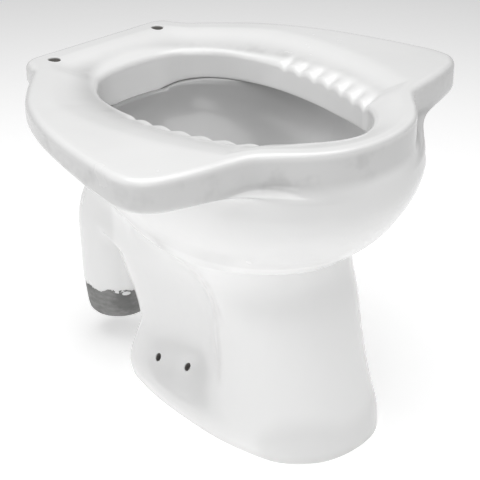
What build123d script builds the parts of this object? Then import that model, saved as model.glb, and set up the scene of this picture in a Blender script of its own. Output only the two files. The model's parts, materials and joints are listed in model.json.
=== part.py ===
from build123d import *
import math
import os

os.makedirs("parts", exist_ok=True)

# Floor-standing sit-or-squat toilet pan in vitreous china, one fired piece
# put together from separately cast walls.  All sizes are in millimetres.
# Z is up from the floor, the user faces -Y, and X = 0 is the mirror plane.

# overall sizes
deck_top = 371.0            # floor to the top of the foot-rest deck
nose_reach = 408.0          # hinge-hole line to the front of the deck
horn_back = 4.0             # hinge-hole line forward to the outlet centre
horn_radius = 45.0          # outside of the outlet at its crown
hinge_y = (nose_reach - (horn_radius - horn_back)) / 2.0

# deck
deck_plate = 12.0
deck_side = 26.0            # height of the plate and its turned-down edge
deck_wall = 10.0
deck_edge_round = 8.0
mouth_edge_round = 9.0
soffit_thick = 8.0
hinge_spacing = 155.0
hinge_hole = 14.0
hinge_boss = 24.0           # pillar round each hinge hole, down to the soffit

# foot treads beside the bowl mouth
tread_count = 7
tread_pitch = 25.0
tread_first = 163.0         # hinge line to the rearmost groove
tread_radius = 9.5
tread_depth = 3.2
tread_length = 64.0
tread_slope = 6.0           # degrees, the groove fades out towards the side

# bowl mouth and flushing rim
mouth_half = 118.0
mouth_back = 48.0
mouth_front = 373.0
mouth_fullness = 0.82
rim_drop = 45.0             # deck top to the underside of the rim
rim_wall = 7.0
rim_skirt_gap = 1.5
wash_hole = 5.0
wash_hole_count = 24
jet_slot_width = 34.0
feed_slot_width = 56.0
feed_slot_depth = 5.0
feed_slot_reach = 30.0      # hinge line to the slot that feeds the rim

# walls
shell_wall = 10.0
basin_wall = 9.0
luting_gap = 0.2

# trap and outlet
trap_bore = 28.0            # radius of the clear water way
trap_wall = 8.0
trap_arch = 58.0            # centre-line radius over the weir
trap_dip = 40.0             # centre-line radius of the water-seal bend
trap_spring = 150.0         # height where the arch starts
seal_height = 125.0         # height of the seal bend centre
spigot_radius = 41.5
spigot_length = 32.0
spigot_bore = 34.0
spigot_end = 45.0           # floor to the open end of the outlet

# flush inlet and the pocket that feeds the rim
inlet_height = 296.0
inlet_radius = 24.0
inlet_bore = 19.0
inlet_reach = 30.0          # hinge line forward to the inner end
inlet_back = 18.0           # hinge line back to the open end
pocket_width = 84.0
pocket_height = 62.0
pocket_wall = 6.0

# floor fixings
fixing_x = 67.0
fixing_y = 168.0            # hinge line to the middle of the fixing holes
fixing_pitch = 48.0
fixing_hole = 9.0
fixing_lug = 11.0

# half outlines, (x, distance in front of the hinge line), back to front
deck_half = [(0, -25), (28, -25), (56, -25), (80, -25), (93, -24), (103, -18), (110, -5),
             (116, 8), (131, 23), (155, 47), (178, 74), (198, 108), (213, 142), (226, 183), (235, 222),
             (241, 255), (244, 285), (239, 307), (226, 319), (205, 327), (175, 334),
             (145, 339), (124, 345), (105, 359), (88, 375), (64, 393), (30, 405),
             (0, nose_reach)]
rim_half = [(0, 20), (48, 27), (86, 55), (113, 100), (132, 152), (140, 205), (138, 248),
            (125, 290), (104, 324), (87, 347), (71, 363), (51, 379), (26, 390),
            (0, nose_reach - shell_wall - rim_skirt_gap - 3)]

# half outlines of the outer body at the given heights above the floor
belly_levels = {
    deck_top - deck_side - soffit_thick:
        [(0, 8), (55, 14), (102, 45), (138, 100), (158, 165), (165, 225), (158, 283),
         (131, 330), (100, 357), (57, 392), (0, 405)],
    314: [(0, 9), (53, 16), (98, 47), (133, 102), (153, 165), (161, 225), (156, 284),
          (138, 334), (106, 375), (58, 400), (0, 407)],
    290: [(0, 11), (49, 20), (91, 53), (124, 107), (144, 165), (152, 225), (149, 282),
          (134, 332), (103, 374), (56, 399), (0, 406)],
    262: [(0, 16), (46, 26), (84, 60), (112, 110), (131, 165), (138, 220), (136, 272),
          (122, 323), (93, 362), (51, 387), (0, 395)],
    236: [(0, 20), (43, 34), (77, 70), (99, 115), (114, 165), (120, 216), (117, 263),
          (103, 308), (77, 345), (42, 368), (0, 375)],
    212: [(0, 26), (38, 38), (62, 74), (81, 118), (96, 165), (102, 212), (98, 254),
          (82, 291), (58, 320), (31, 338), (0, 344)],
}
foot_levels = {
    212: belly_levels[212],
    196: [(0, 28), (38, 37), (49, 70), (60, 118), (75, 165), (88, 210), (89, 252),
          (78, 290), (57, 322), (31, 340), (0, 346)],
    155: [(0, 38), (36, 42), (45, 64), (47, 110), (52, 165), (62, 215), (82, 248),
          (83, 284), (65, 323), (36, 346), (0, 353)],
    110: [(0, 66), (34, 69), (45, 86), (48, 120), (50, 165), (56, 215), (80, 246),
          (84, 285), (69, 327), (39, 353), (0, 361)],
    70: [(0, 86), (34, 87), (47, 98), (54, 128), (58, 170), (64, 215), (82, 248),
         (88, 288), (73, 333), (40, 361), (0, 369)],
    45: [(0, 78), (36, 80), (54, 92), (64, 125), (71, 170), (77, 215), (87, 250),
         (90, 290), (75, 337), (42, 367), (0, 375)],
    18: [(0, 68), (38, 70), (60, 84), (76, 125), (86, 170), (92, 215), (95, 252),
         (92, 295), (78, 344), (45, 373), (0, 383)],
    0: [(0, 70), (36, 72), (57, 86), (73, 125), (82, 170), (88, 215), (91, 252),
        (89, 296), (77, 345), (44, 376), (0, 385)],
}

# ovals of the basin inside: (height, half width, back, front, fullness)
rim_under = deck_top - rim_drop
basin_levels = [
    (rim_under, mouth_half + 8, mouth_back - 6, mouth_front + 10, 0.82),
    (290, 119, 54, 367, 0.84),
    (255, 98, 92, 340, 0.88),
    (215, 68, 146, 302, 0.92),
    (170, 38, 167, 258, 0.96),
    (seal_height, trap_bore, 200 - trap_bore, 200 + trap_bore, 1.0),
]


def oval(half_width, back, front, fullness=1.0, points=11):
    """Half outline of a bowl-shaped oval, back to front."""
    middle, reach = (back + front) / 2.0, (front - back) / 2.0
    half = []
    for i in range(points):
        turn = math.pi * i / (points - 1)
        half.append((half_width * math.sin(turn) ** fullness if 0 < i < points - 1 else 0.0,
                     middle - reach * math.cos(turn)))
    return half


def moved_in(half, depth):
    """The same half outline moved inwards by a wall thickness."""
    inner = []
    for i, (x, y) in enumerate(half):
        if x == 0:
            inner.append((0.0, y + depth if i == 0 else y - depth))
            continue
        dx, dy = half[i + 1][0] - half[i - 1][0], half[i + 1][1] - half[i - 1][1]
        size = math.hypot(dx, dy)
        inner.append((x - depth * dy / size, y + depth * dx / size))
    return inner


def face_of(half, height):
    """Flat face inside a mirrored half outline at one height."""
    right = [(x, hinge_y - y, height) for x, y in half]
    left = [(-x, y, z) for x, y, z in right[-2:0:-1]]
    return Face(Wire([Edge.make_spline([Vector(*p) for p in right + left], periodic=True)]))


def levels_of(levels, depth=0.0):
    """Faces of a body described by its outlines at several heights."""
    return [face_of(moved_in(half, depth), height) for height, half in sorted(levels.items())]


def basin_faces(grow=0.0):
    """Faces of the basin, grown outwards by the wall when asked."""
    return [face_of(oval(half + grow, back - grow, front + grow, full), height)
            for height, half, back, front, full in reversed(basin_levels)]


mouth = oval(mouth_half, mouth_back, mouth_front, mouth_fullness)
plate_under = deck_top - deck_plate
side_under = deck_top - deck_side
soffit_under = side_under - soffit_thick
horn_y = hinge_y - horn_back
arch_y = horn_y - trap_arch
riser_y = arch_y - trap_arch
dip_y = riser_y - trap_dip
trap_radius = trap_bore + trap_wall
arch_axis = Axis((0, arch_y, trap_spring), (1, 0, 0))
dip_axis = Axis((0, dip_y, seal_height), (1, 0, 0))
inlet_place = Pos(0, hinge_y, inlet_height) * Rot(90, 0, 0)

# deck: flat plate with the foot-rest wings and a turned-down edge
with BuildPart() as foot_rest_deck:
    with BuildSketch(Plane.XY.offset(side_under)):
        add(face_of(deck_half, 0))
    extrude(amount=deck_side)
    top_edges = foot_rest_deck.edges().group_by(Axis.Z)[-1]
    fillet(top_edges, radius=deck_edge_round)
    with BuildSketch(Plane.XY.offset(side_under)):
        add(face_of(moved_in(deck_half, deck_wall), 0))
    extrude(amount=deck_side - deck_plate, mode=Mode.SUBTRACT)
    with BuildSketch(Plane.XY.offset(side_under)):
        add(face_of(mouth, 0))
    extrude(amount=deck_side, mode=Mode.SUBTRACT)
    with Locations((-hinge_spacing / 2, hinge_y, side_under),
                   (hinge_spacing / 2, hinge_y, side_under)):
        Cylinder(hinge_boss / 2, deck_side - deck_plate,
                 align=(Align.CENTER, Align.CENTER, Align.MIN))
    mouth_edge = foot_rest_deck.edges().group_by(Axis.Z)[-1].sort_by(SortBy.LENGTH)[0]
    fillet(mouth_edge, radius=mouth_edge_round)
    with Locations((-hinge_spacing / 2, hinge_y, plate_under),
                   (hinge_spacing / 2, hinge_y, plate_under)):
        Cylinder(hinge_hole / 2, deck_plate * 3, mode=Mode.SUBTRACT)
    for side in (-1, 1):
        for step in range(tread_count):
            reach = tread_first + step * tread_pitch
            middle = (mouth_front + mouth_back) / 2
            part_way = (reach - middle) / ((mouth_front - mouth_back) / 2)
            edge_x = mouth_half * (1 - part_way ** 2) ** (mouth_fullness / 2)
            with Locations(Pos(side * edge_x, hinge_y - reach,
                               deck_top + tread_radius - tread_depth)
                           * Rot(0, 90 - side * tread_slope, 0)):
                Cylinder(tread_radius, tread_length, mode=Mode.SUBTRACT)
foot_rest_deck.part.label = "foot_rest_deck"
export_step(foot_rest_deck.part, "parts/foot_rest_deck.step")

# soffit: plate that closes the underside of the wings around the rim
with BuildPart() as deck_soffit:
    with BuildSketch(Plane.XY.offset(soffit_under)):
        add(face_of(deck_half, 0))
        add(face_of(moved_in(rim_half, -luting_gap), 0), mode=Mode.SUBTRACT)
        with Locations((-hinge_spacing / 2, hinge_y), (hinge_spacing / 2, hinge_y)):
            Circle(hinge_hole / 2, mode=Mode.SUBTRACT)
    extrude(amount=soffit_thick)
deck_soffit.part.label = "deck_soffit"
export_step(deck_soffit.part, "parts/deck_soffit.step")

# flushing rim: box ring under the deck, open at the top, with wash holes
with BuildPart() as flushing_rim:
    with BuildSketch(Plane.XY.offset(rim_under)):
        add(face_of(rim_half, 0))
        add(face_of(mouth, 0), mode=Mode.SUBTRACT)
    extrude(amount=plate_under - rim_under)
    with BuildSketch(Plane.XY.offset(rim_under + rim_wall)):
        add(face_of(moved_in(rim_half, rim_wall), 0))
        add(face_of(moved_in(mouth, -rim_wall), 0), mode=Mode.SUBTRACT)
    extrude(amount=plate_under - rim_under, mode=Mode.SUBTRACT)
    wash_line = oval(mouth_half + wash_hole, mouth_back - wash_hole, mouth_front + wash_hole,
                     mouth_fullness, wash_hole_count // 2 + 2)[1:-1]
    for side in (-1, 1):
        with Locations(*[(side * x, hinge_y - y, rim_under) for x, y in wash_line]):
            Cylinder(wash_hole / 2, rim_wall * 3, mode=Mode.SUBTRACT)
    with Locations((0, hinge_y - mouth_back + rim_wall / 2, rim_under)):
        Box(jet_slot_width, rim_wall * 1.4, rim_wall * 3, mode=Mode.SUBTRACT)
    with Locations((0, hinge_y - feed_slot_reach, rim_under)):
        Box(feed_slot_width, feed_slot_depth, rim_wall * 3, mode=Mode.SUBTRACT)
flushing_rim.part.label = "flushing_rim"
export_step(flushing_rim.part, "parts/flushing_rim.step")

# basin: oval funnel hung under the rim, ending in the trap mouth
with BuildPart() as bowl_basin:
    loft(sections=basin_faces(basin_wall))
    loft(sections=basin_faces(), mode=Mode.SUBTRACT)
bowl_basin.part.label = "bowl_basin"
export_step(bowl_basin.part, "parts/bowl_basin.step")

# space taken by the outlet where it leaves the body, with room for the slip joint
with BuildPart(mode=Mode.PRIVATE) as horn_space:
    with BuildSketch(Plane((0, arch_y, trap_spring + trap_arch), (1, 0, 0), (0, 1, 0))):
        Circle(horn_radius + luting_gap)
    revolve(axis=arch_axis, revolution_arc=-90)
    with Locations((0, horn_y, trap_spring)):
        Cylinder(horn_radius + luting_gap, trap_spring - spigot_end,
                 align=(Align.CENTER, Align.CENTER, Align.MAX))

# belly: outer wall of the bowl, from the soffit down to the crease
with BuildPart() as belly_shell:
    loft(sections=levels_of(belly_levels))
    loft(sections=levels_of(belly_levels, shell_wall), mode=Mode.SUBTRACT)
    add(horn_space.part, mode=Mode.SUBTRACT)
    with Locations(inlet_place):
        Cylinder(inlet_radius + luting_gap, 80, mode=Mode.SUBTRACT)
belly_shell.part.label = "belly_shell"
export_step(belly_shell.part, "parts/belly_shell.step")

# foot: hollow pedestal with recessed rear sides and fixing lugs inside the flange
with BuildPart() as pedestal_foot:
    loft(sections=levels_of(foot_levels))
    loft(sections=levels_of(foot_levels, shell_wall), mode=Mode.SUBTRACT)
    fixing_places = [(side * fixing_x, hinge_y - fixing_y + end * fixing_pitch / 2)
                     for side in (-1, 1) for end in (-1, 1)]
    with BuildPart(mode=Mode.PRIVATE) as fixing_lugs:
        loft(sections=levels_of(foot_levels))
        with BuildPart(mode=Mode.INTERSECT):
            with Locations(*[(x, y, 0) for x, y in fixing_places]):
                Cylinder(fixing_lug, 90, align=(Align.CENTER, Align.CENTER, Align.MIN))
    add(fixing_lugs.part)
    with Locations(*[(x, y, 0) for x, y in fixing_places]):
        Cylinder(fixing_hole / 2, 90, align=(Align.CENTER, Align.CENTER, Align.MIN),
                 mode=Mode.SUBTRACT)
    add(horn_space.part, mode=Mode.SUBTRACT)
pedestal_foot.part.label = "pedestal_foot"
export_step(pedestal_foot.part, "parts/pedestal_foot.step")

# water-seal bend under the basin outlet
with BuildPart() as trap_seal_bend:
    with BuildSketch(Plane.XY.offset(seal_height)):
        with Locations((0, riser_y)):
            Circle(trap_radius)
            Circle(trap_bore, mode=Mode.SUBTRACT)
    revolve(axis=dip_axis, revolution_arc=-180)
trap_seal_bend.part.label = "trap_seal_bend"
export_step(trap_seal_bend.part, "parts/trap_seal_bend.step")

# riser: straight lift, then a quarter turn up to the weir
with BuildPart() as trap_riser:
    with BuildSketch(Plane.XY.offset(seal_height)):
        with Locations((0, riser_y)):
            Circle(trap_radius)
            Circle(trap_bore, mode=Mode.SUBTRACT)
    extrude(amount=trap_spring - seal_height)
    with BuildSketch(Plane((0, arch_y, trap_spring + trap_arch), (1, 0, 0), (0, 1, 0))):
        Circle(trap_radius)
        Circle(trap_bore, mode=Mode.SUBTRACT)
    revolve(axis=arch_axis, revolution_arc=90)
trap_riser.part.label = "trap_riser"
export_step(trap_riser.part, "parts/trap_riser.step")

# crown of the outlet horn, from the weir over to the down leg
with BuildPart() as outlet_crown:
    with BuildSketch(Plane((0, arch_y, trap_spring + trap_arch), (1, 0, 0), (0, 1, 0))):
        Circle(horn_radius)
        Circle(trap_bore, mode=Mode.SUBTRACT)
    revolve(axis=arch_axis, revolution_arc=-90)
outlet_crown.part.label = "outlet_crown"
export_step(outlet_crown.part, "parts/outlet_crown.step")

# down leg of the outlet, opening out towards the spigot
leg_bottom = spigot_end + spigot_length
with BuildPart() as outlet_leg:
    with Locations((0, horn_y, leg_bottom)):
        Cone(spigot_radius + 1.5, horn_radius, trap_spring - leg_bottom,
             align=(Align.CENTER, Align.CENTER, Align.MIN))
        Cone(spigot_bore, trap_bore, trap_spring - leg_bottom,
             align=(Align.CENTER, Align.CENTER, Align.MIN), mode=Mode.SUBTRACT)
outlet_leg.part.label = "outlet_leg"
export_step(outlet_leg.part, "parts/outlet_leg.step")

# unglazed spigot that enters the soil pipe
with BuildPart() as outlet_spigot:
    with Locations((0, horn_y, spigot_end)):
        Cylinder(spigot_radius, spigot_length, align=(Align.CENTER, Align.CENTER, Align.MIN))
        Cylinder(spigot_bore, spigot_length, align=(Align.CENTER, Align.CENTER, Align.MIN),
                 mode=Mode.SUBTRACT)
outlet_spigot.part.label = "outlet_spigot"
export_step(outlet_spigot.part, "parts/outlet_spigot.step")

# flush pocket: carries the water from the inlet up to the rim behind the basin
with BuildPart() as flush_pocket:
    with Locations((0, hinge_y, rim_under)):
        Box(pocket_width, 140, pocket_height, align=(Align.CENTER, Align.CENTER, Align.MAX))
    with BuildPart(mode=Mode.INTERSECT):
        loft(sections=levels_of(belly_levels, shell_wall + luting_gap))
    with BuildPart(mode=Mode.SUBTRACT):
        loft(sections=basin_faces(basin_wall + luting_gap))
    with BuildPart(mode=Mode.SUBTRACT):
        with Locations((0, hinge_y, rim_under)):
            Box(pocket_width - 2 * pocket_wall, 140, pocket_height - pocket_wall,
                align=(Align.CENTER, Align.CENTER, Align.MAX))
        with BuildPart(mode=Mode.INTERSECT):
            loft(sections=levels_of(belly_levels, shell_wall + luting_gap + pocket_wall))
    with Locations(inlet_place):
        Cylinder(inlet_radius + luting_gap, 60, mode=Mode.SUBTRACT)
flush_pocket.part.label = "flush_pocket"
export_step(flush_pocket.part, "parts/flush_pocket.step")

# flush inlet: short socket for the flush pipe, under the back of the deck
with BuildPart() as flush_inlet:
    with Locations(Pos(0, hinge_y - inlet_reach, inlet_height) * Rot(-90, 0, 0)):
        Cylinder(inlet_radius, inlet_reach + inlet_back,
                 align=(Align.CENTER, Align.CENTER, Align.MIN))
        Cylinder(inlet_bore, inlet_reach + inlet_back,
                 align=(Align.CENTER, Align.CENTER, Align.MIN), mode=Mode.SUBTRACT)
flush_inlet.part.label = "flush_inlet"
export_step(flush_inlet.part, "parts/flush_inlet.step")
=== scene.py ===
"""Glazed skin, finishes and studio for a floor-standing toilet pan, built around its CAD frame."""
import json
import math

import bmesh
import bpy
import numpy as np
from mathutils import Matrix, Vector
from mathutils.bvhtree import BVHTree


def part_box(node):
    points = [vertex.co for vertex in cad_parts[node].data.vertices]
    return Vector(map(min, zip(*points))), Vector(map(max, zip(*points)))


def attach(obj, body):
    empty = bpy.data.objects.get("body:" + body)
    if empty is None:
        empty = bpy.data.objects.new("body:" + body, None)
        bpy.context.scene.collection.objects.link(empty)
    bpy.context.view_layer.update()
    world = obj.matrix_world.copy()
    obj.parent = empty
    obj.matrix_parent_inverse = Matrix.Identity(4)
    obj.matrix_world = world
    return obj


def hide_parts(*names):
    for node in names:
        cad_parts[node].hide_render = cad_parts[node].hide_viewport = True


bl_info = {
    "name": "Toilet Pan Dresser",
    "version": (1, 0, 0),
    "blender": (4, 5, 0),
    "location": "View3D > Sidebar > Pan",
    "description": "Builds the glazed skin of a floor-standing toilet pan and its studio",
    "category": "Object",
}

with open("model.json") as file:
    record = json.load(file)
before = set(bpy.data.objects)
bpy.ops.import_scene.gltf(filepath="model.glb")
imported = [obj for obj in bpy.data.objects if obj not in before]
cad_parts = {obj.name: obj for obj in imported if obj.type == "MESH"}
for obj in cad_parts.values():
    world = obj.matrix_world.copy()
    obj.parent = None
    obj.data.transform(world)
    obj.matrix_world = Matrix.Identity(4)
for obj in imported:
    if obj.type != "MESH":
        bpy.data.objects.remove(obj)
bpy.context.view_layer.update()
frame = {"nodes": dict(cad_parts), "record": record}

MM = 0.001
RING = 384                  # vertices round every ring of the body
HALF_TURN = math.pi
QUARTER = math.pi / 2

# places that the frame gives
MOUNTS = {mount["name"]: mount for mount in frame["record"]["mounts"]}
DECK_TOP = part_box("foot_rest_deck")[1].z
HINGE_Y = MOUNTS["seat_hinge_holes"]["pos_m"][1]
HINGE_SPACING = MOUNTS["seat_hinge_holes"]["dims"]["spacing_x_mm"] * MM
OUTLET_Y = MOUNTS["outlet_spigot"]["pos_m"][1]
SPIGOT_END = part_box("outlet_spigot")[0].z
SPIGOT_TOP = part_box("outlet_spigot")[1].z
INLET_HEIGHT = MOUNTS["flush_inlet"]["pos_m"][2]
FIXING_PLACE = Vector(MOUNTS["floor_fixing_holes"]["pos_m"])
FIXING_SPACING = [MOUNTS["floor_fixing_holes"]["dims"][key] * MM
                  for key in ("spacing_x_mm", "spacing_y_mm")]

# Half outlines in millimetres, (x, distance in front of the hinge holes), back to front.
DECK_EDGE = [(0, -25), (28, -25), (56, -25), (80, -25), (93, -24), (103, -18), (110, -5),
             (116, 8), (131, 23), (155, 47), (178, 74), (198, 108), (213, 142), (226, 183),
             (235, 222), (241, 255), (244, 285), (239, 307), (226, 319), (205, 327),
             (175, 334), (145, 339), (124, 345), (105, 359), (88, 375), (64, 393), (30, 405),
             (0, 408)]
BELLY = {
    337: [(0, 8), (55, 14), (102, 45), (138, 100), (158, 165), (165, 225), (158, 283),
          (131, 330), (100, 357), (57, 392), (0, 405)],
    314: [(0, 9), (53, 16), (98, 47), (133, 102), (153, 165), (161, 225), (156, 284),
          (138, 334), (106, 375), (58, 400), (0, 407)],
    290: [(0, 11), (49, 20), (91, 53), (124, 107), (144, 165), (152, 225), (149, 282),
          (134, 332), (103, 374), (56, 399), (0, 406)],
    262: [(0, 16), (46, 26), (84, 60), (112, 110), (131, 165), (138, 220), (136, 272),
          (122, 323), (93, 362), (51, 387), (0, 395)],
    236: [(0, 20), (43, 34), (77, 70), (99, 115), (114, 165), (120, 216), (117, 263),
          (103, 308), (77, 345), (42, 368), (0, 375)],
    212: [(0, 26), (38, 38), (62, 74), (81, 118), (96, 165), (102, 212), (98, 254),
          (82, 291), (58, 320), (31, 338), (0, 344)],
}
FOOT = {
    212: BELLY[212],
    196: [(0, 28), (38, 37), (49, 70), (60, 118), (74, 165), (85, 210), (89, 252),
          (79, 290), (57, 322), (31, 340), (0, 346)],
    155: [(0, 34), (37, 38), (46, 60), (48, 106), (51, 165), (59, 215), (73, 243),
          (83, 268), (82, 292), (65, 324), (36, 346), (0, 353)],
    110: [(0, 62), (35, 65), (46, 82), (49, 116), (50, 165), (55, 213), (70, 241),
          (82, 263), (84, 291), (69, 327), (39, 353), (0, 361)],
    70: [(0, 84), (35, 85), (48, 96), (55, 125), (57, 170), (60, 213), (73, 243),
         (85, 266), (87, 292), (72, 333), (40, 361), (0, 369)],
    45: [(0, 77), (37, 79), (54, 91), (64, 123), (70, 170), (75, 213), (83, 244),
         (89, 268), (90, 293), (75, 337), (42, 367), (0, 375)],
    18: [(0, 71), (38, 73), (59, 87), (75, 126), (86, 170), (91, 215), (94, 252),
         (92, 295), (78, 344), (45, 373), (0, 383)],
    0: [(0, 73), (36, 75), (56, 89), (72, 126), (82, 170), (88, 215), (91, 252),
        (89, 296), (77, 345), (44, 376), (0, 385)],
}
CREASE = 212                # height where the belly meets the foot
BELLY_TOP = 314             # height where the belly starts to turn out under the deck
MOUTH_MIDDLE = HINGE_Y - 0.2075
DISH_POWER = 1.35           # how much the deck's fall steepens towards the mouth
# the mouth's wall, below its rolled edge
MOUTH = [(0, 44), (20, 45), (39, 48), (59, 55), (74, 68), (88, 84), (98, 102), (104, 122),
         (108, 146), (109, 173), (107, 199), (104, 222), (100, 243), (95, 262), (88, 282),
         (80, 302), (70, 321), (58, 338), (45, 351), (31, 361), (16, 368), (0, 371)]
# basin: (height, half width, back, front, fullness)
BASIN = [(326, 126, 42, 383, 0.82), (290, 119, 54, 367, 0.84), (255, 98, 92, 340, 0.88),
         (215, 68, 146, 302, 0.92), (170, 38, 167, 258, 0.96), (125, 28, 172, 228, 1.0)]
BASIN_TOP = 318             # height where the basin meets the underside of the rim
TRAP_MOUTH = 125            # height of the basin's foot


# studio: name, place, point looked at, width, height in metres, and watts
LAMPS = [("overhead", (-0.15, -0.1, 1.75), (-0.15, -0.1, 0.2), 1.8, 1.8, 24.0),
         ("front", (-1.8, -1.8, 1.5), (0, 0, 0.3), 1.3, 1.3, 9.5),
         ("left", (-2.4, 1.4, 1.2), (0, 0, 0.2), 2.0, 1.4, 10)]
SKY_COLOUR = (0.80, 0.80, 0.80, 1)
SKY_STRENGTH = 0.22
FLOOR_RADIUS = 9.0
CAMERA_PLACE = (-1.0634, -1.0528, 0.9247)
CAMERA_TURNS = (63.67, 0, -46.0)
CAMERA_LENS = 112.5


def length(name, about, default):
    """A size in metres that the panel shows."""
    return bpy.props.FloatProperty(name=name, description=about, default=default,
                                   unit="LENGTH", subtype="DISTANCE", precision=4)


def colour(name, about, default):
    """A colour that the panel shows."""
    return bpy.props.FloatVectorProperty(name=name, description=about, default=default,
                                         subtype="COLOR", size=3, min=0.0, max=1.0)


class PAN_PG_sizes(bpy.types.PropertyGroup):
    """Sizes of the glazed skin."""
    side_back: length("Side at the Back", "Height of the deck's side at the back", 0.027)
    side_front: length("Side at the Front", "Height of the side at the front corners", 0.035)
    deck_round: length("Deck Edge", "Rounding of the deck's top edge", 0.008)
    under_round: length("Under Edge", "Rounding of the deck's lower edge", 0.008)
    under_fillet: length("Under Fillet", "Hollow between the belly and the deck", 0.016)
    mouth_roll: length("Mouth Roll", "Radius of the deck's roll into the mouth", 0.008)
    dish: length("Dish", "How far the deck falls towards the mouth", 0.0107)
    dish_width: length("Dish Width", "How far out from the mouth the deck starts to fall", 0.058)
    rim_drop: length("Rim Drop", "Deck top to the rim's lower edge at the sides", 0.045)
    jet_dip: length("Jet Dip", "How much lower the rim reaches over the jet", 0.015)
    nose_lift: length("Nose Lift", "How much higher the rim's edge is at the nose", 0.006)
    rim_round: length("Rim Edge", "Rounding of the rim's lower edge", 0.0035)
    tread_first: length("First Tread", "Hinge holes to the rearmost tread groove", 0.172)
    tread_pitch: length("Tread Pitch", "Spacing of the tread grooves", 0.0242)
    tread_depth: length("Tread Depth", "Depth of a groove at the mouth's edge", 0.0040)
    tread_length: length("Tread Length", "How far a groove runs out from the mouth", 0.026)
    tread_step: length("Tread Step", "How far the mouth widens past the treads", 0.002)
    hinge_hole: length("Hinge Hole", "Radius of the seat-hinge holes", 0.007)
    fixing_hole: length("Fixing Hole", "Radius of the floor-fixing holes", 0.0045)
    inlet_hole: length("Inlet Hole", "Radius of the hole behind the flush inlet", 0.0205)
    wall: length("Wall", "Thickness of the shell", 0.010)
    horn_radius: length("Outlet Radius", "Outside radius of the outlet bend", 0.045)
    horn_arch: length("Outlet Arch", "Centre-line radius of the outlet bend", 0.058)
    horn_spring: length("Outlet Spring", "Height where the bend turns down", 0.150)
    spigot_radius: length("Spigot Radius", "Outside radius of the bare end", 0.0415)
    spigot_bore: length("Spigot Bore", "Inside radius of the bare end", 0.0325)
    spigot_taper: length("Spigot Taper", "How much the bare end narrows downwards", 0.005)
    spigot_reach: length("Spigot Reach", "How far the fired end hangs below its gauge", 0.009)


class PAN_PG_colours(bpy.types.PropertyGroup):
    """Colours of the finishes."""
    glaze: colour("Glaze", "White sanitary glaze", (0.90, 0.90, 0.897))
    glaze_thin: colour("Thin Glaze", "Glaze where it ran thin over an edge", (0.70, 0.695, 0.68))
    # bare body inside the drilled holes, painted much darker than the bisque as shade
    bore: colour("Bore", "Bare body inside the drilled holes", (0.22, 0.21, 0.20))
    # the bowl's glaze is painted grey as shade, not a grey glaze
    bowl: colour("Bowl", "Glaze down in the bowl", (0.45, 0.45, 0.45))
    bisque: colour("Bisque", "Bare fired body inside the foot", (0.62, 0.59, 0.54))
    spigot: colour("Spigot", "Bare end of the outlet", (0.28, 0.28, 0.275))
    spigot_stain: colour("Stain", "Darker patches of the bare end", (0.17, 0.17, 0.168))
    floor: colour("Floor", "Studio floor", (0.85, 0.85, 0.85))


def smoothstep(low, high, value):
    """0 below low, 1 above high, and a smooth rise between."""
    t = np.clip((np.asarray(value, float) - low) / (high - low), 0.0, 1.0)
    return t * t * (3.0 - 2.0 * t)


def smooth_through(knots, values, places):
    """Values at the given places on a smooth curve through the knots."""
    knots, values, places = (np.asarray(a, float) for a in (knots, values, places))
    slopes = np.gradient(values, knots, axis=0)
    left = np.clip(np.searchsorted(knots, places, side="right") - 1, 0, len(knots) - 2)
    span = knots[left + 1] - knots[left]
    t = (places - knots[left]) / span
    t, span = (a.reshape(a.shape + (1,) * (values.ndim - 1)) for a in (t, span))
    rise = t * t * (3 - 2 * t)
    return (values[left] * (1 - rise) + values[left + 1] * rise
            + span * (slopes[left] * t * (1 - t) ** 2 - slopes[left + 1] * t * t * (1 - t)))


def loop_of(half, scale=MM):
    """Ring of evenly spaced points on the smooth closed curve of a mirrored half outline."""
    points = np.array(list(half) + [(-x, d) for x, d in half[-2:0:-1]], float) * scale
    wrapped = np.vstack([points[-3:], points, points[:4]])
    chord = np.concatenate([[0], np.cumsum(np.linalg.norm(np.diff(wrapped, axis=0), axis=1))])
    fine = smooth_through(chord, wrapped, np.linspace(chord[3], chord[3 + len(points)], 4001))
    run = np.concatenate([[0], np.cumsum(np.linalg.norm(np.diff(fine, axis=0), axis=1))])
    even = np.linspace(0, run[-1], RING + 1)[:-1]
    return np.column_stack([np.interp(even, run, fine[:, k]) for k in (0, 1)])


def oval(half_width, back, front, fullness=1.0, points=13):
    """Half outline of a bowl-shaped oval, back to front."""
    middle, reach = (back + front) / 2, (front - back) / 2
    turns = [HALF_TURN * i / (points - 1) for i in range(points)]
    return [(half_width * abs(math.sin(a)) ** fullness if 0 < a < turns[-1] else 0.0,
             middle - reach * math.cos(a)) for a in turns]


def basin_levels():
    """The basin's half outlines by height."""
    return {height: oval(*shape) for height, *shape in BASIN}


def moved_in(loop, depth):
    """The same ring moved inwards, or outwards where the depth is below zero."""
    along = np.roll(loop, -1, axis=0) - np.roll(loop, 1, axis=0)
    along /= np.linalg.norm(along, axis=1)[:, None]
    return loop + np.column_stack([-along[:, 1], along[:, 0]]) * np.reshape(depth, (-1, 1))


def placed(loop, height):
    """Ring of points in the frame at one height, or at a height of its own for each point."""
    heights = np.broadcast_to(np.asarray(height, float), (len(loop),))
    return np.column_stack([loop[:, 0], HINGE_Y - loop[:, 1], heights])


def wall_rings(levels, heights, depth=0.0):
    """Rings at the given heights, in mm, on the smooth wall through a body's outlines."""
    knots = sorted(levels)
    loops = smooth_through(knots, [loop_of(levels[k]) for k in knots], heights)
    return [placed(moved_in(loop, depth) if depth else loop, z * MM)
            for loop, z in zip(loops, heights)]


def steps(first, last, count):
    """Evenly spaced values, without the first."""
    return [first + (last - first) * i / count for i in range(1, count + 1)]


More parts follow.
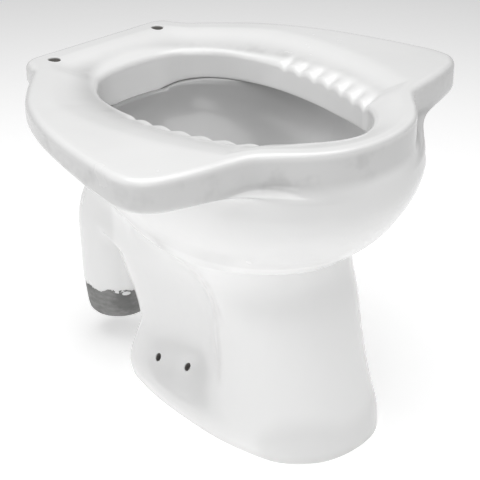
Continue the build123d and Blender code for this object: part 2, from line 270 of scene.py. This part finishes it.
def rolled_sheet(rings):
    """A grid rolled round the rings. Gives the mesh and its vertices by ring and place."""
    bm = bmesh.new()
    bm.verts.layers.float.new("bored")
    count = len(rings[0])
    bmesh.ops.create_grid(bm, x_segments=count, y_segments=len(rings) - 1, size=1.0)
    bm.verts.ensure_lookup_table()
    rows = []
    seam = {}
    for r, ring in enumerate(rings):
        row = [bm.verts[r * (count + 1) + c] for c in range(count + 1)]
        for vert, place in zip(row, list(ring) + [ring[0]]):
            vert.co = place
        seam[row.pop()] = row[0]
        rows.append(row)
    bmesh.ops.weld_verts(bm, targetmap=seam)
    return bm, rows


def grow(bm, loop, places):
    """Extrudes a closed loop of vertices and lays the new loop on the given places."""
    edges = [bm.edges.get(pair) for pair in zip(loop, loop[1:] + loop[:1])]
    fresh = {g for g in bmesh.ops.extrude_edge_only(bm, edges=edges)["geom"]
             if isinstance(g, bmesh.types.BMVert)}
    new_loop = [next(e.other_vert(v) for e in v.link_edges if e.other_vert(v) in fresh)
                for v in loop]
    for vert, place in zip(new_loop, places):
        vert.co = place
    return new_loop


def point_outwards(bm, inside):
    """Turns the faces so that most of them look away from a point inside the wall."""
    bm.normal_update()
    away = sum(face.calc_area() * face.normal.dot(face.calc_center_median() - inside)
               for face in bm.faces)
    if away < 0:
        bmesh.ops.reverse_faces(bm, faces=bm.faces)


def boundary_loop(edges):
    """Vertices of a closed chain of edges, in order."""
    links = {}
    for edge in edges:
        for vert in edge.verts:
            links.setdefault(vert, []).append(edge.other_vert(vert))
    first = next(iter(links))
    loop, last = [first], None
    while True:
        step = next(v for v in links[loop[-1]] if v is not last)
        if step is first:
            return loop
        last = loop[-1]
        loop.append(step)


def drill(bm, centre, direction, radius, depth, softness=0.0008, reach=0.012):
    """Cuts a round hole with a softened edge into the skin, and gives it a bore."""
    direction = direction.normalized()
    near = [f for f in bm.faces if (f.calc_center_median() - centre).length < radius + reach
            and f.normal.dot(direction) < -0.2]
    edges = list({e for f in near for e in f.edges})
    bmesh.ops.subdivide_edges(bm, edges=edges, cuts=2, use_grid_fill=True, smooth=0.0)
    bm.normal_update()
    surface = BVHTree.FromBMesh(bm)

    def off_axis(point):
        away = point - centre
        return away - direction * away.dot(direction)

    inside = [f for f in bm.faces if off_axis(f.calc_center_median()).length < radius
              and (f.calc_center_median() - centre).length < radius + reach
              and f.normal.dot(direction) < -0.2]
    rim = [e for e in {e for f in inside for e in f.edges}
           if sum(f in set(inside) for f in e.link_faces) == 1]
    bmesh.ops.delete(bm, geom=inside, context="FACES")
    loop = boundary_loop(rim)
    start = 3 * reach
    for vert in loop:
        aim = centre + off_axis(vert.co).normalized() * (radius + softness)
        hit = surface.ray_cast(aim - direction * start, direction, 2 * start)[0]
        vert.co = hit if hit else aim
    edge_loop = [v.co.copy() for v in loop]
    for part, drop in ((0.35, 0.2), (0.0, 1.0)):
        loop = grow(bm, loop, [p - off_axis(p).normalized() * softness * (1 - part)
                               + direction * softness * drop for p in edge_loop])
    bored = bm.verts.layers.float["bored"]
    for vert in grow(bm, loop, [v.co + direction * (depth - softness) for v in loop]):
        vert[bored] = 1.0


def finish_piece(name, bm, material, sharp_angle=None):
    """Makes the mesh an object of the part, smooth but for the edges over the sharp angle."""
    mesh = bpy.data.meshes.new(name)
    for face in bm.faces:
        face.smooth = True
    if sharp_angle:
        for edge in bm.edges:
            if len(edge.link_faces) == 2 and edge.calc_face_angle(0.0) > sharp_angle:
                edge.smooth = False
    bm.to_mesh(mesh)
    bm.free()
    mesh.materials.append(material)
    piece = bpy.data.objects.new(name, mesh)
    bpy.context.scene.collection.objects.link(piece)
    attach(piece, "root")
    return piece


def mouth_loop(size):
    """Ring of the mouth's wall, which widens a little past the last tread."""
    loop = loop_of(MOUTH)
    last = size.tread_first + 6 * size.tread_pitch
    return moved_in(loop, -size.tread_step * smoothstep(last - 0.003, last + 0.009, loop[:, 1]))


def rim_drop(mouth, size):
    """Deck top to the rim's lower edge at each point of the mouth."""
    x, d = np.abs(mouth[:, 0]), mouth[:, 1]
    over_jet = (1 - smoothstep(0.005, 0.085, x)) * (d < 0.15)
    return size.rim_drop + size.jet_dip * over_jet - size.nose_lift * smoothstep(0.25, 0.34, d)


def tread_drop(loop, mouth, size):
    """How far the grooves between the treads lower the deck at each point of a ring."""
    d = loop[:, 1]
    away = np.linalg.norm(loop - mouth, axis=1)
    along = (d - size.tread_first) / size.tread_pitch
    groove = 1 - np.sqrt(np.sin(HALF_TURN * along) ** 2 + 0.05)
    inside = (smoothstep(-0.5, 0.0, along) * (1 - smoothstep(6.0, 6.45, along))
              * (np.abs(mouth[:, 0]) > 0.04))
    fade = 1 - smoothstep(0.25 * size.tread_length, size.tread_length, away)
    deeper = 1 + 0.3 * smoothstep(5.5, 6.0, along)
    return size.tread_depth * groove * fade * deeper * inside


def deck_rings(size):
    """Rings from the top of the belly out under the deck, over it and down the rim."""
    edge = loop_of(DECK_EDGE)
    start = wall_rings(BELLY, [BELLY_TOP])[0]
    belly = np.column_stack([start[:, 0], HINGE_Y - start[:, 1]])
    mouth = mouth_loop(size)
    side = size.side_back + (size.side_front - size.side_back) * smoothstep(0.15, 0.30, edge[:, 1])
    under = DECK_TOP - side
    over = edge - belly
    hang = np.linalg.norm(over, axis=1)
    away = over / np.maximum(hang, 1e-6)[:, None]
    fillet = np.minimum(size.under_fillet, 0.45 * hang)
    turned = np.minimum(size.under_round, 0.45 * hang)
    ledge = smoothstep(0.014, 0.048, hang)

    path = []
    for a in steps(0, QUARTER, 6):
        path.append((belly + away * (fillet * (1 - math.cos(a)))[:, None],
                     under - fillet * (1 - math.sin(a))))
    for t in steps(0, 1, 9):
        inner = belly + away * fillet[:, None]
        path.append((inner + away * ((hang - fillet - turned) * t)[:, None], under))
    for a in steps(0, QUARTER, 5):
        path.append((edge - away * (turned * (1 - math.sin(a)))[:, None],
                     under + turned * (1 - math.cos(a))))
    rings = []
    for i, (ledge_loop, ledge_height) in enumerate(path):
        t = (i + 1) / len(path)
        blend_loop = belly + over * smoothstep(0, 1, t)
        blend_height = BELLY_TOP * MM * (1 - t) + (under + size.under_round) * t
        rings.append(placed(blend_loop + (ledge_loop - blend_loop) * ledge[:, None],
                            blend_height + (ledge_height - blend_height) * ledge))
    low = under + size.under_round
    turned = size.deck_round * (1 - 0.4 * smoothstep(0.33, 0.37, edge[:, 1]))
    high = DECK_TOP - turned
    rings += [placed(edge, low + (high - low) * t) for t in steps(0, 1, 4)]
    rings += [placed(moved_in(edge, turned * (1 - math.cos(a))),
                     DECK_TOP - turned * (1 - math.sin(a))) for a in steps(0, QUARTER, 7)]
    outer = moved_in(edge, turned)
    roll = size.mouth_roll
    inner = moved_in(mouth, -roll)
    gap = np.linalg.norm(outer - inner, axis=1)
    width = np.minimum(size.dish_width, 0.75 * gap)
    dish = size.dish * (1 - 0.6 * smoothstep(0.29, 0.36, mouth[:, 1]))
    slope = np.arctan(DISH_POWER * dish / width)
    inner = moved_in(mouth, -roll * (1 - np.sin(slope)))
    for t in steps(0, 1, 26):
        t = 1 - (1 - t) ** 1.4
        loop = outer + (inner - outer) * t
        fall = dish * np.clip(1 - gap * (1 - t) / width, 0, 1) ** DISH_POWER
        rings.append(placed(loop, DECK_TOP - fall - tread_drop(loop, mouth, size)))
    for t in steps(0, 1, 9):
        turn = slope + (QUARTER - slope) * t
        loop = moved_in(mouth, -roll * (1 - np.sin(turn)))
        rings.append(placed(loop, DECK_TOP - dish - roll * (np.cos(slope) - np.cos(turn))
                            - tread_drop(loop, mouth, size)))
    drop = tread_drop(mouth, mouth, size)
    top = DECK_TOP - dish - roll * np.cos(slope)
    low = DECK_TOP - rim_drop(mouth, size) + size.rim_round
    rings += [placed(mouth, top + (low - top) * t - drop * (1 - t)) for t in steps(0, 1, 6)]
    rings += [placed(moved_in(mouth, -size.rim_round * (1 - math.cos(a))),
                     low - size.rim_round * math.sin(a)) for a in steps(0, QUARTER, 4)]
    return rings


def horn_place(size, run, turn, radius):
    """Point on the outlet, a way along its centre line and a turn round it, 0 at the back."""
    quarter = size.horn_arch * QUARTER
    bend = min(run, quarter) / size.horn_arch
    arch_y = OUTLET_Y - size.horn_arch
    out = Vector((0, math.sin(bend), math.cos(bend)))
    centre = Vector((0, arch_y, size.horn_spring)) + out * size.horn_arch
    centre.z -= max(0.0, run - quarter)
    return centre + (Vector((1, 0, 0)) * math.sin(turn) + out * math.cos(turn)) * radius


def leg_radius(size, run):
    """Outside radius of the outlet, which narrows a little down its leg."""
    quarter = size.horn_arch * QUARTER
    leg = size.horn_spring - SPIGOT_TOP
    share = max(0.0, run - quarter) / leg
    return size.horn_radius + (size.spigot_radius + 0.0008 - size.horn_radius) * share


def join_outlet(bm, rows, size):
    """Opens the back wall and draws the outlet out of it in one smooth skin."""
    columns = 34                # half the opening's width, in places of a ring
    opening_low, opening_high = 0.128, 0.262
    heights = [row[0].co.z for row in rows]
    low, high = (min(range(len(rows)), key=lambda r: abs(heights[r] - edge))
                 for edge in (opening_low, opening_high))
    patch = [(high, c, 1, 0) for c in range(columns)]
    patch += [(high, columns, 1, 1)]
    patch += [(r, columns, 0, 1) for r in range(high - 1, low, -1)]
    patch += [(low, columns, -1, 1)]
    patch += [(low, c, -1, 0) for c in range(columns - 1, -columns, -1)]
    patch += [(low, -columns, -1, -1)]
    patch += [(r, -columns, 0, -1) for r in range(low + 1, high)]
    patch += [(high, -columns, 1, -1)]
    patch += [(high, c, 1, 0) for c in range(-columns + 1, 0)]
    loop = [rows[r][c] for r, c, _, _ in patch]
    start = [v.co.copy() for v in loop]
    lead = []
    for r, c, up, aside in patch:
        here = rows[r][c].co
        pull = Vector()
        if up:
            pull += (here - rows[r + up][c].co).normalized()
        if aside:
            pull += (here - rows[r][c + aside].co).normalized()
        lead.append(pull.normalized())
    inside = {f for r in range(low, high) for c in range(-columns, columns)
              for f in rows[r][c].link_faces
              if rows[r + 1][c + 1] in f.verts and rows[r][c] in f.verts}
    bmesh.ops.delete(bm, geom=list(inside), context="FACES")

    count = len(loop)
    turns = [2 * HALF_TURN * i / count for i in range(count)]
    quarter = size.horn_arch * QUARTER
    total = quarter + size.horn_spring - SPIGOT_TOP
    # the free outlet starts later inside its bend than on its back
    root_middle, root_slant, ahead = 0.0845, 0.0315, 0.002
    first = [root_middle - root_slant * math.cos(a) for a in turns]
    end, next_place = ([horn_place(size, s + more, a, leg_radius(size, s + more))
                        for s, a in zip(first, turns)] for more in (0.0, ahead))
    trail = [(e - n).normalized() for e, n in zip(end, next_place)]
    bridge = []
    for t in steps(0, 1, 16):
        places = []
        for p0, p1, d0, d1 in zip(start, end, lead, trail):
            handle = 0.010 + 0.33 * (p1 - p0).length
            a, b = p0 + d0 * handle, p1 + d1 * handle
            places.append(p0 * (1 - t) ** 3 + a * 3 * t * (1 - t) ** 2
                          + b * 3 * t * t * (1 - t) + p1 * t ** 3)
        loop = grow(bm, loop, places)
        bridge += loop
    for t in steps(0, 1, 26):
        runs = [s + (total - s) * t for s in first]
        loop = grow(bm, loop, [horn_place(size, s, a, leg_radius(size, s))
                               for s, a in zip(runs, turns)])
    for passes, spread, bridged in ((22, 9, 5), (8, 4, 16)):
        soft = [v for v in bridge[:bridged * count] if v.is_valid]
        soft += [rows[r][c] for r in range(low - spread, high + spread + 1)
                 for c in range(-columns - spread, columns + spread + 1) if rows[r][c].is_valid]
        for _ in range(passes):
            bmesh.ops.smooth_vert(bm, verts=soft, factor=0.5,
                                  use_axis_x=True, use_axis_y=True, use_axis_z=True)
    return loop


class Signal:
    """A node's output that takes part in Python sums, each sum adding a Math node."""

    def __init__(self, paint, socket):
        self.paint, self.socket = paint, socket

    def sum(self, operation, *terms):
        return self.paint.node("ShaderNodeMath", {"operation": operation},
                               dict(enumerate(terms)))

    def __add__(self, other):
        return self.sum("ADD", self, other)

    def __sub__(self, other):
        return self.sum("SUBTRACT", self, other)

    def __rsub__(self, other):
        return self.sum("SUBTRACT", other, self)

    def __mul__(self, other):
        return self.sum("MULTIPLY", self, other)

    def __truediv__(self, other):
        return self.sum("DIVIDE", self, other)

    __radd__, __rmul__ = __add__, __mul__


class Paint:
    """A procedural material, built node by node on the object's own coordinates."""

    def __init__(self, name):
        self.material = bpy.data.materials.new(name)
        self.material.use_nodes = True
        self.tree = self.material.node_tree
        self.tree.nodes.clear()
        self.place = self.node("ShaderNodeTexCoord", out="Object")

    def node(self, kind, settings=None, sockets=None, out=0):
        """Adds a node, makes its settings, fills its sockets and gives one output."""
        node = self.tree.nodes.new(kind)
        for key, value in (settings or {}).items():
            setattr(node, key, value)
        for key, value in (sockets or {}).items():
            if isinstance(value, Signal):
                self.tree.links.new(value.socket, node.inputs[key])
            else:
                node.inputs[key].default_value = value
        return Signal(self, node.outputs[out])

    def noise(self, scale, detail=3.0, rough=0.5, at=None):
        """Noise from about 0 to 1, its scale in features per metre."""
        return self.node("ShaderNodeTexNoise", {"noise_dimensions": "3D"},
                         {"Vector": at or self.place, "Scale": scale, "Detail": detail,
                          "Roughness": rough}, "Fac")

    def axis(self, name):
        """One coordinate of the object's space, in metres."""
        return self.node("ShaderNodeSeparateXYZ", None, {0: self.place}, name)

    def ramp(self, value, low, high):
        """0 at low, 1 at high, and a smooth rise between."""
        return self.node("ShaderNodeMapRange", {"interpolation_type": "SMOOTHSTEP"},
                         {"Value": value, "From Min": low, "From Max": high})

    def mix(self, share, first, second):
        """The first colour where the share is 0 and the second where it is 1."""
        first, second = ((*c, 1) if isinstance(c, (tuple, list)) else c for c in (first, second))
        return self.node("ShaderNodeMix", {"data_type": "RGBA"},
                         {0: share, 6: first, 7: second}, 2)

    def bump(self, height, distance, strength=1.0, base=None):
        """A bumped normal, over another one where it is given."""
        sockets = {"Height": height, "Distance": distance, "Strength": strength}
        if base:
            sockets["Normal"] = base
        return self.node("ShaderNodeBump", None, sockets)

    def shade(self, **sockets):
        """Ends the material in one surface shader with the given inputs."""
        names = {key.replace("_", " ").title(): value for key, value in sockets.items()}
        for old, new in (("Ior", "IOR"), ("Specular Level", "Specular IOR Level")):
            if old in names:
                names[new] = names.pop(old)
        surface = self.node("ShaderNodeBsdfPrincipled", None, names)
        output = self.tree.nodes.new("ShaderNodeOutputMaterial")
        self.tree.links.new(surface.socket, output.inputs["Surface"])
        return self.material


def tinted(value, gain):
    """The colour, lighter or darker by a gain."""
    return tuple(min(1.0, channel * gain) for channel in value)


def glaze_material(colours):
    """White sanitary glaze: soft gloss, slow waves of the cast wall, painted shade in patches on
    the deck's side band, painted light on the rim's inner wall, painted shade in the bores, and
    thin spots.
    """
    paint = Paint("sanitary_glaze")
    white = tuple(colours.glaze)
    clouds = paint.noise(7.0, 2.0)
    flecks = paint.noise(900.0, 2.0)
    z = paint.axis("Z")
    base = paint.mix(paint.ramp(clouds, 0.35, 0.65), tinted(white, 0.985), tinted(white, 1.01))
    x, y = paint.axis("X"), paint.axis("Y") - MOUTH_MIDDLE
    half_width, half_length = 0.119, 0.176
    from_mouth = x * x / half_width ** 2 + y * y / half_length ** 2
    # painted shade: the deck's side band, under its top edge and outside the mouth, is darkened in
    # noisy patches
    side = (paint.ramp(z, DECK_TOP - 0.045, DECK_TOP - 0.030) * paint.ramp(from_mouth, 1.0, 1.2)
            * (1 - paint.ramp(z, DECK_TOP - 0.010, DECK_TOP - 0.002)))
    patchy_shade = paint.ramp(paint.noise(22.0, 3.0, 0.6), 0.50, 0.72)
    base = paint.mix(side * (patchy_shade * 0.35 + 0.65), base, tinted(white, 0.70))
    # painted light: the rim's inner wall, inside the mouth below the deck, is lightened
    rim = paint.ramp(from_mouth, 1.0, 0.9) * paint.ramp(z, DECK_TOP - 0.012, DECK_TOP - 0.022)
    base = paint.mix(rim, base, tinted(white, 1.09))
    base = paint.mix(paint.ramp(flecks, 0.70, 0.78) * 0.10, base, tuple(colours.glaze_thin))
    sole = 1 - paint.ramp(z, 0.001, 0.012)
    base = paint.mix(sole * 0.35, base, tuple(colours.glaze_thin))
    # painted shade: the bores of the drilled holes are painted dark over their bare body
    bored = paint.node("ShaderNodeAttribute", {"attribute_name": "bored"}, None, "Fac")
    base = paint.mix(paint.ramp(bored, 0.0, 0.12), base, tuple(colours.bore))
    rough = paint.noise(40.0, 3.0) * 0.10 + paint.ramp(clouds, 0.3, 0.7) * 0.05 + 0.16
    waves = paint.bump(paint.noise(16.0, 2.0), 0.0012, 0.5)
    skin = paint.bump(paint.noise(420.0, 2.0), 0.00012, 0.5, waves)
    return paint.shade(base_color=base, roughness=rough, normal=skin, specular_level=0.5,
                       coat_weight=0.25, coat_roughness=0.08, ior=1.5)


def bowl_material(colours):
    """Glaze down in the bowl, painted grey as shade, darker with depth and at the back as painted
    shade, and faintly streaked by water.
    """
    paint = Paint("shaded_bowl_glaze")
    bowl_shade_grey = tuple(colours.bowl)
    # painted shade: the bowl is grey, darker with depth and at the back, and painted lighter
    # towards the nose
    depth = paint.ramp(paint.axis("Z"), 0.33, 0.20)
    painted_light_to_nose = paint.ramp(paint.axis("Y"), 0.05, -0.12)
    base = paint.mix(depth, bowl_shade_grey, tinted(bowl_shade_grey, 0.92))
    base = paint.mix(painted_light_to_nose, base, tinted(bowl_shade_grey, 1.95))
    streaks = paint.ramp(paint.noise(30.0, 3.0, 0.6), 0.45, 0.75)
    base = paint.mix(streaks * 0.12, base, tinted(bowl_shade_grey, 1.15))
    rough = paint.noise(40.0) * 0.10 + 0.18
    skin = paint.bump(paint.noise(16.0, 2.0), 0.001, 0.5)
    return paint.shade(base_color=base, roughness=rough, normal=skin, specular_level=0.5,
                       coat_weight=0.2, coat_roughness=0.1, ior=1.5)


def bisque_material(colours):
    """Bare fired body: matt, sandy and slightly uneven in colour."""
    paint = Paint("fired_bisque")
    bare = tuple(colours.bisque)
    cloud = paint.ramp(paint.noise(18.0, 4.0, 0.6), 0.35, 0.7)
    grit = paint.ramp(paint.noise(1400.0, 2.0), 0.55, 0.75)
    base = paint.mix(cloud, tinted(bare, 0.90), tinted(bare, 1.08))
    base = paint.mix(grit * 0.35, base, tinted(bare, 0.72))
    skin = paint.bump(paint.noise(900.0, 3.0, 0.6), 0.0003, 0.6)
    return paint.shade(base_color=base, roughness=paint.noise(60.0) * 0.15 + 0.72, normal=skin,
                       specular_level=0.3)


def spigot_material(colours):
    """Bare grey end of the outlet with the ragged lower edge of the glaze above it."""
    paint = Paint("bare_end")
    x, y, z = (paint.axis(name) for name in "XYZ")
    ragged = (paint.noise(85.0, 4.0, 0.7) - 0.5) * 0.020
    line = SPIGOT_TOP - 0.0035
    # one drip of glaze on the side, below the line
    drip_x, drip_y, drip_z = -0.0205, OUTLET_Y - 0.036, SPIGOT_TOP - 0.0065
    half_width, half_height = 0.00548, 0.00292
    across = (x - drip_x) * 0.72 - (y - drip_y) * 0.69
    down = z - drip_z
    blob = across * across / half_width ** 2 + down * down / half_height ** 2
    drip = 1 - paint.ramp(blob + (paint.noise(160.0, 2.0) - 0.5) * 1.2, 0.75, 1.05)
    glazed = paint.node("ShaderNodeMath", {"operation": "MAXIMUM"},
                        {0: paint.ramp(z + ragged - line, -0.0005, 0.0005), 1: drip})
    bare = tuple(colours.spigot)
    band = paint.noise(1.0, 4.0, 0.65, paint.node(
        "ShaderNodeMapping", None, {"Vector": paint.place, "Scale": (60.0, 60.0, 190.0)}))
    patch = paint.ramp(paint.noise(38.0, 3.0, 0.6), 0.42, 0.62)
    base = paint.mix(paint.ramp(band, 0.3, 0.7), tinted(bare, 0.86), tinted(bare, 1.14))
    base = paint.mix(patch * 0.7, base, tuple(colours.spigot_stain))
    base = paint.mix(glazed, base, tuple(colours.glaze))
    rough = (1 - glazed) * 0.55 + 0.2 + paint.noise(50.0) * 0.08
    grain = paint.bump(paint.noise(1100.0, 3.0, 0.6) * (1 - glazed), 0.0004, 0.7)
    skin = paint.bump(glazed, 0.0009, 1.0, grain)
    return paint.shade(base_color=base, roughness=rough, normal=skin, specular_level=0.4)


def floor_material(colours):
    """Plain pale studio floor, matt, lit from within like a light table, less so far out."""
    paint = Paint("studio_floor")
    pale = tuple(colours.floor)
    base = paint.mix(paint.noise(1.5, 2.0), tinted(pale, 0.985), pale)
    away = paint.node("ShaderNodeVectorMath", {"operation": "LENGTH"}, {0: paint.place}, "Value")
    glow = paint.mix(paint.ramp(away, 0.4, 2.0), (1.0,) * 3, (0.6,) * 3)
    return paint.shade(base_color=base, roughness=0.85, specular_level=0.2,
                       emission_color=glow, emission_strength=0.47)


FINISHES = {"sanitary_glaze": glaze_material, "shaded_bowl_glaze": bowl_material,
            "fired_bisque": bisque_material, "bare_end": spigot_material,
            "studio_floor": floor_material}


def finish(name):
    """The named material, made once."""
    return bpy.data.materials.get(name) or FINISHES[name](bpy.context.scene.pan_colours)


class PAN_OT_glazed_body(bpy.types.Operator):
    """Build the foot, belly, deck, rim wall and outlet as one glazed skin"""
    bl_idname = "pan.glazed_body"
    bl_label = "Glazed Body"

    def execute(self, context):
        size = context.scene.pan_sizes
        sole = 0.003            # rounding of the foot's edge on the floor
        foot = loop_of(FOOT[0])
        rings = [placed(moved_in(foot, 2 * sole), 0.0)]
        rings += [placed(moved_in(foot, sole * (1 - math.sin(a))), sole * (1 - math.cos(a)))
                  for a in (0.0, QUARTER / 3, 2 * QUARTER / 3)]
        rings += wall_rings(FOOT, [3, 7, 12, 18, 25, 32] + steps(32, 206, 30)
                            + [209.5, CREASE - 1])
        rings += wall_rings(BELLY, [CREASE, CREASE + 1, 214.5] + steps(214.5, BELLY_TOP, 19))
        rings += deck_rings(size)
        bm, rows = rolled_sheet(rings)
        join_outlet(bm, rows, size)
        point_outwards(bm, Vector((0, 0, DECK_TOP * 0.7)))
        up, down = Vector((0, 0, 1)), Vector((0, 0, -1))
        skin = BVHTree.FromBMesh(bm)
        for side in (-1, 1):
            top = Vector((side * HINGE_SPACING / 2, HINGE_Y, DECK_TOP))
            under = skin.ray_cast(top - up * 0.1, up)[0]
            half_way = (top.z - under.z) / 2
            drill(bm, top, down, size.hinge_hole, half_way)
            drill(bm, under, up, size.hinge_hole, half_way)
        skin = BVHTree.FromBMesh(bm)
        for x in (-0.5, 0.5):
            for y in (-0.5, 0.5):
                above = FIXING_PLACE + Vector((x * FIXING_SPACING[0], y * FIXING_SPACING[1], 0.10))
                place, normal = skin.ray_cast(above, down)[:2]
                drill(bm, place, Vector((0, 0, -0.6)) - normal, size.fixing_hole, 0.018, 0.0006)
        skin = BVHTree.FromBMesh(bm)
        place = skin.ray_cast(Vector((0, HINGE_Y + 0.1, INLET_HEIGHT)), Vector((0, -1, 0)))[0]
        drill(bm, place, Vector((0, -1, 0)), size.inlet_hole, 0.006)
        piece = finish_piece("glazed_body", bm, finish("sanitary_glaze"), 0.9)
        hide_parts("foot_rest_deck", "deck_soffit", "flushing_rim", "belly_shell",
                    "pedestal_foot", "outlet_crown", "outlet_leg")
        return {"FINISHED"}


class PAN_OT_bowl_lining(bpy.types.Operator):
    """Build the underside of the rim and the basin down to the trap"""
    bl_idname = "pan.bowl_lining"
    bl_label = "Bowl Lining"

    def execute(self, context):
        size = context.scene.pan_sizes
        mouth = mouth_loop(size)
        levels = basin_levels()
        lip = placed(moved_in(mouth, -size.rim_round), DECK_TOP - rim_drop(mouth, size))
        wide = wall_rings(levels, [BASIN_TOP])[0]
        under = wide.copy()
        under[:, 2] = np.minimum(lip[:, 2], max(levels) * MM)
        rings = [lip] + [lip + (under - lip) * t for t in steps(0, 0.9, 4)]
        rings += [wide] + wall_rings(levels, steps(BASIN_TOP, TRAP_MOUTH, 34))
        bm, _ = rolled_sheet(rings)
        point_outwards(bm, Vector((0, 0, 5.0)))
        piece = finish_piece("bowl_lining", bm, finish("shaded_bowl_glaze"))
        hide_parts("bowl_basin")
        return {"FINISHED"}


class PAN_OT_inner_wall(bpy.types.Operator):
    """Build the bare inside of the foot and belly and the underside of the basin"""
    bl_idname = "pan.inner_wall"
    bl_label = "Inner Wall"

    def execute(self, context):
        wall = context.scene.pan_sizes.wall
        levels = basin_levels()
        ceiling = BASIN_TOP - 2
        rings = [placed(moved_in(loop_of(FOOT[0]), depth), 0.0) for depth in (wall / 2, wall)]
        rings += wall_rings(FOOT, steps(0, CREASE - 4, 34), wall)
        rings += wall_rings(BELLY, [CREASE] + steps(CREASE, ceiling, 16), wall)
        rings += wall_rings(levels, [ceiling] + steps(ceiling, TRAP_MOUTH, 24), -wall)
        bm, _ = rolled_sheet(rings)
        point_outwards(bm, Vector((0, HINGE_Y - 0.23, 0.3)))
        bmesh.ops.reverse_faces(bm, faces=bm.faces)
        piece = finish_piece("inner_wall", bm, finish("fired_bisque"), 0.9)
        return {"FINISHED"}


class PAN_OT_outlet_end(bpy.types.Operator):
    """Build the bare end of the outlet and its bore"""
    bl_idname = "pan.outlet_end"
    bl_label = "Outlet End"

    def execute(self, context):
        size = context.scene.pan_sizes
        count = 128
        edge = 0.0045
        inside, outside = size.spigot_bore, size.spigot_radius - size.spigot_taper
        low = SPIGOT_END - size.spigot_reach
        corner = low + edge
        profile = [(outside + size.spigot_taper * t ** 0.7, corner + (SPIGOT_TOP - corner) * t)
                   for t in [1.0] + [1 - t for t in steps(0, 1, 12)]]
        profile += [(outside - edge * math.sin(a) ** 2 * 0.8, corner - edge * math.sin(a))
                    for a in steps(0, QUARTER, 6)]
        profile += [(inside + 0.001, low), (inside, low + 0.001),
                    (inside, SPIGOT_TOP), (size.horn_radius - 0.013, size.horn_spring)]
        turns = [2 * HALF_TURN * i / count for i in range(count)]
        rings = [np.array([(r * math.sin(a), OUTLET_Y + r * math.cos(a), z) for a in turns])
                 for r, z in profile]
        bm, _ = rolled_sheet(rings)
        point_outwards(bm, Vector((0, OUTLET_Y, (SPIGOT_END + SPIGOT_TOP) / 2)))
        piece = finish_piece("outlet_end", bm, finish("bare_end"), 0.9)
        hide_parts("outlet_spigot")
        return {"FINISHED"}


class PAN_OT_hidden_walls(bpy.types.Operator):
    """Finish the CAD walls that stay: trap, riser, flush pocket and flush inlet"""
    bl_idname = "pan.hidden_walls"
    bl_label = "Hidden Walls"

    def execute(self, context):
        bisque = finish("fired_bisque")
        glaze = finish("sanitary_glaze")
        for name, material in (("trap_seal_bend", glaze), ("trap_riser", bisque),
                               ("flush_pocket", bisque), ("flush_inlet", glaze)):
            node = frame["nodes"][name]
            for slot in node.material_slots:
                slot.material = material
        return {"FINISHED"}


def soft_light(name, place, aim, width, height, power):
    """A large soft lamp that looks at a point."""
    lamp = bpy.data.lights.new(name, "AREA")
    lamp.shape, lamp.size, lamp.size_y, lamp.energy = "RECTANGLE", width, height, power
    holder = bpy.data.objects.new(name, lamp)
    holder.location = place
    holder.rotation_euler = (Vector(aim) - Vector(place)).to_track_quat("-Z", "Y").to_euler()
    bpy.context.scene.collection.objects.link(holder)
    return holder


class PAN_OT_stage(bpy.types.Operator):
    """Lay the pale floor and set the soft lights and the camera"""
    bl_idname = "pan.stage"
    bl_label = "Stage"

    def execute(self, context):
        bm = bmesh.new()
        bmesh.ops.create_circle(bm, cap_ends=True, segments=96, radius=FLOOR_RADIUS)
        mesh = bpy.data.meshes.new("studio_floor")
        bm.to_mesh(mesh)
        bm.free()
        mesh.materials.append(finish("studio_floor"))
        floor = bpy.data.objects.new("studio_floor", mesh)
        context.scene.collection.objects.link(floor)

        world = bpy.data.worlds.new("studio")
        world.use_nodes = True
        back = world.node_tree.nodes["Background"]
        back.inputs["Color"].default_value = SKY_COLOUR
        back.inputs["Strength"].default_value = SKY_STRENGTH
        context.scene.world = world
        context.scene.view_settings.view_transform = "Standard"
        for lamp in LAMPS:
            soft_light(*lamp)

        camera = bpy.data.cameras.new("camera")
        camera.lens, camera.sensor_width = CAMERA_LENS, 36.0
        camera.clip_end = 40.0
        holder = bpy.data.objects.new("camera", camera)
        holder.location = CAMERA_PLACE
        holder.rotation_euler = [math.radians(turn) for turn in CAMERA_TURNS]
        context.scene.collection.objects.link(holder)
        context.scene.camera = holder
        return {"FINISHED"}


class PAN_PT_panel(bpy.types.Panel):
    """Sizes, colours and steps of the pan"""
    bl_idname = "PAN_PT_panel"
    bl_label = "Toilet Pan"
    bl_space_type = "VIEW_3D"
    bl_region_type = "UI"
    bl_category = "Pan"

    def draw(self, context):
        for group in (context.scene.pan_sizes, context.scene.pan_colours):
            column = self.layout.column(align=True)
            for key in group.__annotations__:
                column.prop(group, key)
        for step in STEPS:
            self.layout.operator(step.bl_idname)


STEPS = (PAN_OT_glazed_body, PAN_OT_bowl_lining, PAN_OT_inner_wall, PAN_OT_outlet_end,
         PAN_OT_hidden_walls, PAN_OT_stage)
CLASSES = (PAN_PG_sizes, PAN_PG_colours) + STEPS + (PAN_PT_panel,)


def register():
    for cls in CLASSES:
        bpy.utils.register_class(cls)
    bpy.types.Scene.pan_sizes = bpy.props.PointerProperty(type=PAN_PG_sizes)
    bpy.types.Scene.pan_colours = bpy.props.PointerProperty(type=PAN_PG_colours)


def unregister():
    del bpy.types.Scene.pan_colours
    del bpy.types.Scene.pan_sizes
    for cls in reversed(CLASSES):
        bpy.utils.unregister_class(cls)


def main():
    register()
    bpy.ops.pan.glazed_body()
    bpy.ops.pan.bowl_lining()
    bpy.ops.pan.inner_wall()
    bpy.ops.pan.outlet_end()
    bpy.ops.pan.hidden_walls()
    bpy.ops.pan.stage()


if __name__ == "__main__":
    main()
